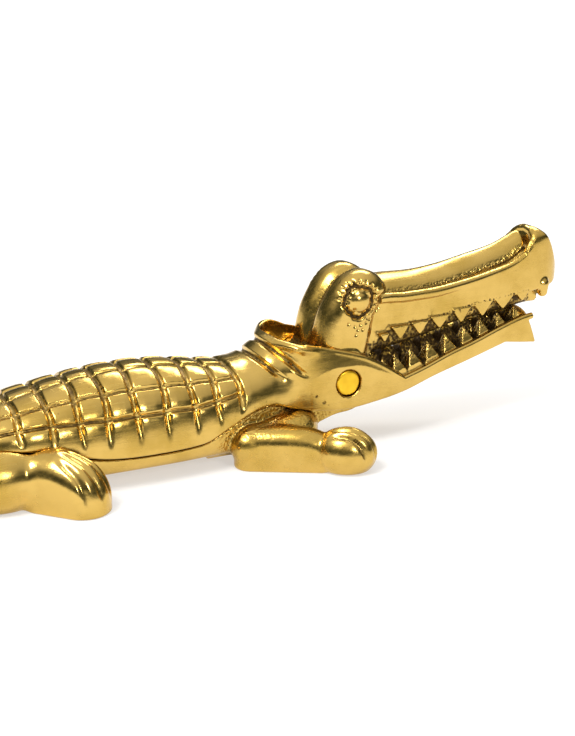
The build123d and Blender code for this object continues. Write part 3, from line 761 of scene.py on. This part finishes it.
def surface_net(field, low, high, cell):
    """Vertices and quads of the field's zero surface."""
    cells = cells_near_surface(field, low, high, cell)
    base = (cells.max(0) + 3).astype(np.int64)
    corners = (cells[:, None, :] + CORNERS[None, :, :]).reshape(-1, 3).astype(np.int64)
    unique, inverse = np.unique(pack_key(corners, base), return_inverse=True)
    places = np.stack([unique // (base[1] * base[2]), unique // base[2] % base[1], unique % base[2]], 1)
    values = field_at(field, low + places * cell)[inverse].reshape(-1, 8)
    crossed = (values.min(1) < 0) & (values.max(1) >= 0)
    cells, values = cells[crossed].astype(np.int64), values[crossed]
    total, hits = np.zeros((len(cells), 3)), np.zeros(len(cells))
    for a, b in EDGES:
        va, vb = values[:, a], values[:, b]
        cut = (va < 0) != (vb < 0)
        t = np.where(cut, va / np.where(cut, va - vb, 1.0), 0.0)
        point = CORNERS[a] + t[:, None] * (CORNERS[b] - CORNERS[a])
        total += point * cut[:, None]
        hits += cut
    vertices = low + (cells + total / hits[:, None]) * cell
    keys = pack_key(cells, base)
    order = np.argsort(keys)
    sorted_keys = keys[order]
    quads = []
    for axis in range(3):
        b_axis, c_axis = (axis + 1) % 3, (axis + 2) % 3
        end = 4 >> axis
        cut = (values[:, 0] < 0) != (values[:, end] < 0)
        here = cells[cut]
        step_b, step_c = np.eye(3, dtype=np.int64)[b_axis], np.eye(3, dtype=np.int64)[c_axis]
        ring = [here, here - step_b, here - step_b - step_c, here - step_c]
        found, known = [], np.ones(len(here), bool)
        for place in ring:
            key = pack_key(place, base)
            at = np.clip(np.searchsorted(sorted_keys, key), 0, len(keys) - 1)
            known &= sorted_keys[at] == key
            found.append(order[at])
        quad = np.stack(found, 1)
        flip = values[cut, 0] > 0
        quad[flip] = quad[flip][:, ::-1]
        quads.append(quad[known])
    return vertices, np.concatenate(quads)


def gradient(field, points, step):
    """Direction in which the field grows, by central differences."""
    result = np.empty_like(points)
    for axis in range(3):
        shift = np.zeros(3)
        shift[axis] = step
        result[:, axis] = (field_at(field, points + shift) - field_at(field, points - shift)) / (2 * step)
    return result


def settle(field, points, cell, rounds):
    """Moves points onto the zero surface."""
    for _ in range(rounds):
        slope = gradient(field, points, 0.35 * cell)
        value = field_at(field, points)
        move = value / np.maximum((slope ** 2).sum(1), 0.05)
        move = np.clip(move, -0.6 * cell, 0.6 * cell)
        points = points - move[:, None] * slope
    return points


def occlusion_depth(field, points, normals):
    """0 on open ground to 1 deep in a hollow, from how soon the field opens up above a point: an occlusion value
    that darkens the colour as brown patina and as painted shade.
    """
    shade = np.zeros(len(points))
    for reach, weight in ((0.6, 0.4), (1.4, 0.35), (3.0, 0.25)):
        value = field_at(field, points + reach * normals)
        shade += weight * np.clip(1.0 - value / reach, 0.0, 1.0)
    return shade


def add_object(name, data):
    """New object of some data, put into the scene."""
    item = bpy.data.objects.new(name, data)
    bpy.context.scene.collection.objects.link(item)
    return item


def sculpt(name, field, low, high, cell):
    """Mesh object of a field, in metres in the object's frame, with its shading attributes."""
    vertices, quads = surface_net(field, np.array(low, float), np.array(high, float), cell)
    vertices = settle(field, vertices, cell, 2)
    mesh = bpy.data.meshes.new(name)
    to_frame(vertices, mesh, quads)
    piece = add_object(name, mesh)
    triangles = 2 * len(quads)
    if triangles > TRIANGLE_LIMIT:
        thin(piece, TRIANGLE_LIMIT / triangles)
    finish_surface(piece, field, cell)
    print(f"{name}: {triangles} triangles, kept {len(piece.data.polygons)} faces")
    return piece


def to_frame(points, mesh, quads):
    """Fills a mesh from points in millimetres from the pin."""
    mesh.from_pydata(((points + (PIVOT_X, 0, 0)) * MM).tolist(), [], quads.tolist())
    mesh.update()


def thin(piece, ratio):
    """Joins triangles where the surface is flat."""
    modifier = piece.modifiers.new("thin", "DECIMATE")
    modifier.ratio = ratio
    bpy.context.view_layer.update()
    reduced = bpy.data.meshes.new_from_object(piece.evaluated_get(bpy.context.evaluated_depsgraph_get()))
    piece.modifiers.clear()
    piece.data = reduced


def finish_surface(piece, field, cell):
    """Puts vertices on the field, takes normals from it and writes the values that darken the colour: occlusion in
    hollows (patina and painted shade), the groove mask and the as-cast mask.
    """
    mesh = piece.data
    points = np.empty(len(mesh.vertices) * 3)
    mesh.vertices.foreach_get("co", points)
    points = points.reshape(-1, 3) / MM - (PIVOT_X, 0, 0)
    points = settle(field, points, cell, 1)
    mesh.vertices.foreach_set("co", ((points + (PIVOT_X, 0, 0)) * MM).ravel())
    normals = gradient(field, points, 0.5 * cell)
    normals /= np.maximum(np.linalg.norm(normals, axis=1, keepdims=True), 1e-9)
    # Occlusion in hollows: darkens the colour as patina and as painted shade.
    patina_and_occlusion_shade = occlusion_depth(field, points, normals)
    _, mask, cast = field(points[:, 0], points[:, 1], points[:, 2])
    for label, values in (("patina_and_occlusion_shade", patina_and_occlusion_shade), ("groove", mask), ("cast", cast)):
        attribute = mesh.attributes.new(label, "FLOAT", "POINT")
        attribute.data.foreach_set("value", values.astype(np.float32))
    mesh.shade_smooth()
    mesh.normals_split_custom_set_from_vertices(normals.tolist())
    mesh.update()


# ---------------------------------------------------------------- materials

class Nodes:
    """Short way to write a material's nodes."""

    def __init__(self, name):
        self.material = bpy.data.materials.new(name)
        self.material.use_nodes = True
        self.tree = self.material.node_tree
        self.tree.nodes.clear()

    def put(self, value, socket):
        if isinstance(value, bpy.types.NodeSocket):
            self.tree.links.new(value, socket)
        else:
            socket.default_value = value

    def add(self, kind, inputs=(), **settings):
        node = self.tree.nodes.new(kind)
        for key, value in settings.items():
            setattr(node, key, value)
        for key, value in dict(inputs).items():
            self.put(value, node.inputs[key])
        return node

    def noise(self, where, scale, detail=3.0, roughness=0.5, distortion=0.0):
        node = self.add("ShaderNodeTexNoise", {"Vector": where, "Scale": scale, "Detail": detail,
                                               "Roughness": roughness, "Distortion": distortion})
        return node.outputs["Fac"]

    def spread(self, value, low, high, to_low=0.0, to_high=1.0):
        node = self.add("ShaderNodeMapRange", {"Value": value, "From Min": low, "From Max": high,
                                               "To Min": to_low, "To Max": to_high},
                        interpolation_type="SMOOTHSTEP")
        return node.outputs["Result"]

    def math(self, operation, a, b):
        return self.add("ShaderNodeMath", {0: a, 1: b}, operation=operation).outputs[0]

    def mix(self, amount, a, b):
        return self.add("ShaderNodeMix", {0: amount, 6: a, 7: b}, data_type="RGBA").outputs[2]

    def attribute(self, name):
        return self.add("ShaderNodeAttribute", attribute_name=name).outputs["Fac"]

    def finish(self, inputs):
        shader = self.add("ShaderNodeBsdfPrincipled", inputs)
        self.add("ShaderNodeOutputMaterial", {"Surface": shader.outputs[0]})
        return self.material


def cast_brass(name, polished, deeper, patina_and_shade, stipple):
    """Old cast brass: bright on open ground, darkened towards the patina colour in hollows and grooves as patina and
    as painted shade, stippled where as cast.
    """
    n = Nodes(name)
    where = n.add("ShaderNodeTexCoord").outputs["Object"]
    patina_and_occlusion_shade, patina_and_shade_mask, cast = n.attribute("patina_and_occlusion_shade"), n.attribute("groove"), n.attribute("cast")
    cloud = n.noise(where, 55.0, 4.0, 0.6)
    grain = n.noise(where, 900.0, 3.0, 0.6)
    pits = n.noise(where, 420.0, 2.0, 0.55, 0.4)
    cells = n.add("ShaderNodeTexVoronoi", {"Vector": where, "Scale": 1150.0}).outputs["Distance"]
    # Darkening from occlusion in hollows and from the groove mask: brown patina, with painted shade where these
    # masks follow the fall of shade.
    dark = n.math("ADD", n.spread(patina_and_occlusion_shade, 0.16, 0.75, 0.0, 0.9), n.spread(patina_and_shade_mask, 0.2, 0.95, 0.0, 0.85))
    dark = n.math("ADD", dark, n.spread(cloud, 0.35, 0.75, -0.2, 0.12))
    dark = n.math("ADD", dark, n.spread(grain, 0.3, 0.7, -0.12, 0.12))
    dark = n.math("ADD", dark, n.math("MULTIPLY", cast, n.spread(cells, 0.25, 0.75, 0.55, -0.25)))
    amount = n.spread(dark, 0.15, 1.0)
    tint = n.mix(n.spread(cloud, 0.35, 0.7), polished, deeper)
    color = n.mix(amount, tint, patina_and_shade)
    speck = n.math("MULTIPLY", n.spread(pits, 0.71, 0.77), n.spread(cloud, 0.45, 0.62))
    color = n.mix(speck, color, patina_and_shade)
    scratch_space = n.add("ShaderNodeMapping", {"Vector": where, "Rotation": (0.3, 0.9, 0.4),
                                                "Scale": (60.0, 900.0, 900.0)}).outputs[0]
    scratches = n.noise(scratch_space, 1.0, 2.0, 0.5)
    rough = n.math("ADD", n.spread(amount, 0.0, 1.0, 0.21, 0.5), n.spread(scratches, 0.3, 0.8, -0.03, 0.08))
    rough = n.math("ADD", rough, n.spread(cloud, 0.3, 0.75, -0.03, 0.07))
    metal = n.spread(amount, 0.35, 1.0, 1.0, 0.75)
    height = n.math("ADD", n.math("MULTIPLY", grain, n.spread(amount, 0.1, 0.9, 0.10, stipple)),
                    n.math("MULTIPLY", scratches, 0.05))
    height = n.math("ADD", height, n.math("MULTIPLY", n.noise(where, 160.0, 2.0), 0.3))
    height = n.math("SUBTRACT", height, n.math("MULTIPLY", speck, 0.3))
    height = n.math("SUBTRACT", height, n.math("MULTIPLY", cast, n.math("MULTIPLY", cells, 1.3)))
    bump = n.add("ShaderNodeBump", {"Height": height, "Strength": 0.4, "Distance": 0.0004})
    return n.finish({"Base Color": color, "Metallic": metal, "Roughness": rough, "Normal": bump.outputs[0]})


def pin_brass(bright, deeper):
    """Cleaner, yellower brass of the pin, with a fine grain."""
    n = Nodes("pin_brass")
    where = n.add("ShaderNodeTexCoord").outputs["Object"]
    cloud = n.noise(where, 160.0, 3.0)
    grain = n.noise(where, 1400.0, 2.0)
    color = n.mix(n.spread(cloud, 0.3, 0.75), bright, deeper)
    rough = n.spread(cloud, 0.3, 0.7, 0.22, 0.34)
    bump = n.add("ShaderNodeBump", {"Height": grain, "Strength": 0.2, "Distance": 0.0003})
    return n.finish({"Base Color": color, "Metallic": 1.0, "Roughness": rough, "Normal": bump.outputs[0]})


# ---------------------------------------------------------------- pieces

ROOM = 1.5                   # left round the CAD box for the surface net
BACK_NET = ((-21.0, 7.0), (77.0, 21.0, 48.0))      # low Y and Z, then the high corner
BELLY_REAR_X = -126.0
PIN_HALF_LENGTH = 14.7
PIN_SHANK_RADIUS = 3.95
PIN_FACETS = 64


def build_castings():
    box_low, box_high = CAD_BOX
    low_x, high_x = box_low.x / MM - PIVOT_X, box_high.x / MM - PIVOT_X
    high_y, high_z = box_high.y / MM, box_high.z / MM
    back_low, back_high = BACK_NET
    back = sculpt("back_casting", back_lever_field, (low_x - ROOM, *back_low), back_high, FINE_CELL)
    belly = sculpt("belly_casting", belly_lever_field, (BELLY_REAR_X, -high_y - ROOM, -ROOM),
                   (high_x + ROOM, high_y + ROOM, high_z + ROOM), FINE_CELL)
    return back, belly


def build_pin():
    """Turned pin with a slight crown and a chamfer at each end."""
    half, around = PIN_HALF_LENGTH, PIN_FACETS
    profile = [(0.0, half), (2.0, half - 0.01), (3.3, half - 0.04), (3.72, half - 0.14), (3.9, half - 0.36),
               (PIN_SHANK_RADIUS, half - 0.8), (PIN_SHANK_RADIUS, 8.0), (PIN_SHANK_RADIUS, 0.0)]
    profile += [(radius, -place) for radius, place in reversed(profile[:-1])]
    vertices, faces = [], []
    for radius, place in profile:
        for i in range(around):
            angle = 2 * math.pi * i / around
            vertices.append((MM * (PIVOT_X + radius * math.cos(angle)), MM * place,
                             MM * (PIVOT_Z + radius * math.sin(angle))))
    for ring in range(len(profile) - 1):
        for i in range(around):
            j = (i + 1) % around
            here, above = ring * around, (ring + 1) * around
            faces.append((here + i, here + j, above + j, above + i))
    mesh = bpy.data.meshes.new("hinge_pin")
    mesh.from_pydata(vertices, [], faces)
    work = bmesh.new()
    work.from_mesh(mesh)
    bmesh.ops.remove_doubles(work, verts=work.verts, dist=1e-7)
    bmesh.ops.recalc_face_normals(work, faces=work.faces)
    work.to_mesh(mesh)
    work.free()
    mesh.shade_smooth()
    return add_object("hinge_pin", mesh)


back_casting, belly_casting = build_castings()
hinge_pin = build_pin()

POLISHED = (0.68, 0.45, 0.118, 1)
DEEPER = (0.54, 0.345, 0.07, 1)
# Colour of brown patina and of painted shade in hollows and grooves.
PATINA_AND_SHADE = (0.085, 0.048, 0.012, 1)
STIPPLE = 0.8
PIN_BRIGHT = (0.93, 0.60, 0.04, 1)
PIN_DEEPER = (0.78, 0.46, 0.03, 1)
back_casting.data.materials.append(cast_brass("back_brass", POLISHED, DEEPER, PATINA_AND_SHADE, STIPPLE))
belly_casting.data.materials.append(cast_brass("belly_brass", POLISHED, DEEPER, PATINA_AND_SHADE, STIPPLE))
hinge_pin.data.materials.append(pin_brass(PIN_BRIGHT, PIN_DEEPER))

for piece, body, node, slot in ((back_casting, "back", "back_lever", "cast_brass_back"),
                                (belly_casting, "belly", "belly_lever", "cast_brass_belly"),
                                (hinge_pin, "belly", "pivot_pin", "brass_pin")):
    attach(piece, body)
    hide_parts(node)


# ---------------------------------------------------------------- stage, lights and camera

FLOOR_HALF_SIZE = 30.0
FLOOR_WHITE = (0.50, 0.495, 0.49, 1)
FLOOR_GLOW = (1.0, 0.995, 0.99, 1)
LIGHT_PANELS = (             # name, place, width, height, power
    ("key", (-0.55, -0.25, 0.95), 0.4, 0.35, 9.0),
    ("rim", (0.45, 0.55, 0.75), 0.6, 0.25, 5.0),
    ("side", (0.1, -1.0, 0.55), 0.2, 0.2, 3.0),
)
LIGHT_AIM = (0, 0, 0.03)
WORLD_STOPS = (              # height on the sky from nadir to zenith, colour
    (0.0, (0.85, 0.85, 0.85, 1)), (0.03, (0.24, 0.25, 0.23, 1)), (0.2, (0.045, 0.055, 0.045, 1)),
    (0.44, (0.09, 0.10, 0.09, 1)), (0.58, (0.55, 0.55, 0.55, 1)), (1.0, (1.0, 1.0, 1.0, 1)),
)
CAMERA_PLACE = (-0.16628, -0.40086, 0.16004)
CAMERA_DIRECTION = (0.4192, 0.8595, -0.2924)
CAMERA_SENSOR, CAMERA_LENS = 36.0, 73.37


def build_stage():
    mesh = bpy.data.meshes.new("floor")
    s = FLOOR_HALF_SIZE
    mesh.from_pydata([(-s, -s, 0), (s, -s, 0), (s, s, 0), (-s, s, 0)], [], [(0, 1, 2, 3)])
    floor = add_object("floor", mesh)
    n = Nodes("floor_white")
    where = n.add("ShaderNodeTexCoord").outputs["Object"]
    far = n.add("ShaderNodeVectorMath", {0: where}, operation="LENGTH").outputs["Value"]
    glow = n.spread(far, 0.35, 1.6, 0.50, 0.85)
    floor.data.materials.append(n.finish({
        "Base Color": FLOOR_WHITE, "Roughness": 1.0, "Specular IOR Level": 0.0, "Emission Color": FLOOR_GLOW,
        "Emission Strength": glow}))


def add_panel(name, place, width, height, power):
    light = bpy.data.lights.new(name, "AREA")
    light.shape = "RECTANGLE"
    light.size, light.size_y = width, height
    light.energy = power
    lamp = add_object(name, light)
    lamp.location = place
    lamp.rotation_euler = (Vector(LIGHT_AIM) - Vector(place)).to_track_quat("-Z", "Y").to_euler()


def build_world():
    world = bpy.data.worlds.new("studio")
    bpy.context.scene.world = world
    world.use_nodes = True
    tree = world.node_tree
    tree.nodes.clear()
    output = tree.nodes.new("ShaderNodeOutputWorld")
    background = tree.nodes.new("ShaderNodeBackground")
    coordinate = tree.nodes.new("ShaderNodeTexCoord")
    split = tree.nodes.new("ShaderNodeSeparateXYZ")
    ramp = tree.nodes.new("ShaderNodeValToRGB")
    tree.links.new(coordinate.outputs["Generated"], split.inputs[0])
    tree.links.new(split.outputs["Z"], ramp.inputs[0])
    ramp.color_ramp.elements[0].position = WORLD_STOPS[0][0]
    ramp.color_ramp.elements[1].position = WORLD_STOPS[-1][0]
    for position, _ in WORLD_STOPS[1:-1]:
        ramp.color_ramp.elements.new(position)
    for element, (_, color) in zip(ramp.color_ramp.elements, WORLD_STOPS):
        element.color = color
    tree.links.new(ramp.outputs[0], background.inputs[0])
    background.inputs[1].default_value = 1.0
    tree.links.new(background.outputs[0], output.inputs[0])


def build_camera():
    camera_data = bpy.data.cameras.new("camera")
    camera_data.sensor_width = CAMERA_SENSOR
    camera_data.lens = CAMERA_LENS
    camera_data.clip_start, camera_data.clip_end = 0.01, 100.0
    camera = add_object("camera", camera_data)
    camera.location = CAMERA_PLACE
    camera.rotation_euler = Vector(CAMERA_DIRECTION).to_track_quat("-Z", "Y").to_euler()
    bpy.context.scene.camera = camera


build_stage()
build_world()
for panel in LIGHT_PANELS:
    add_panel(*panel)
build_camera()
bpy.context.scene.view_settings.view_transform = "Standard"
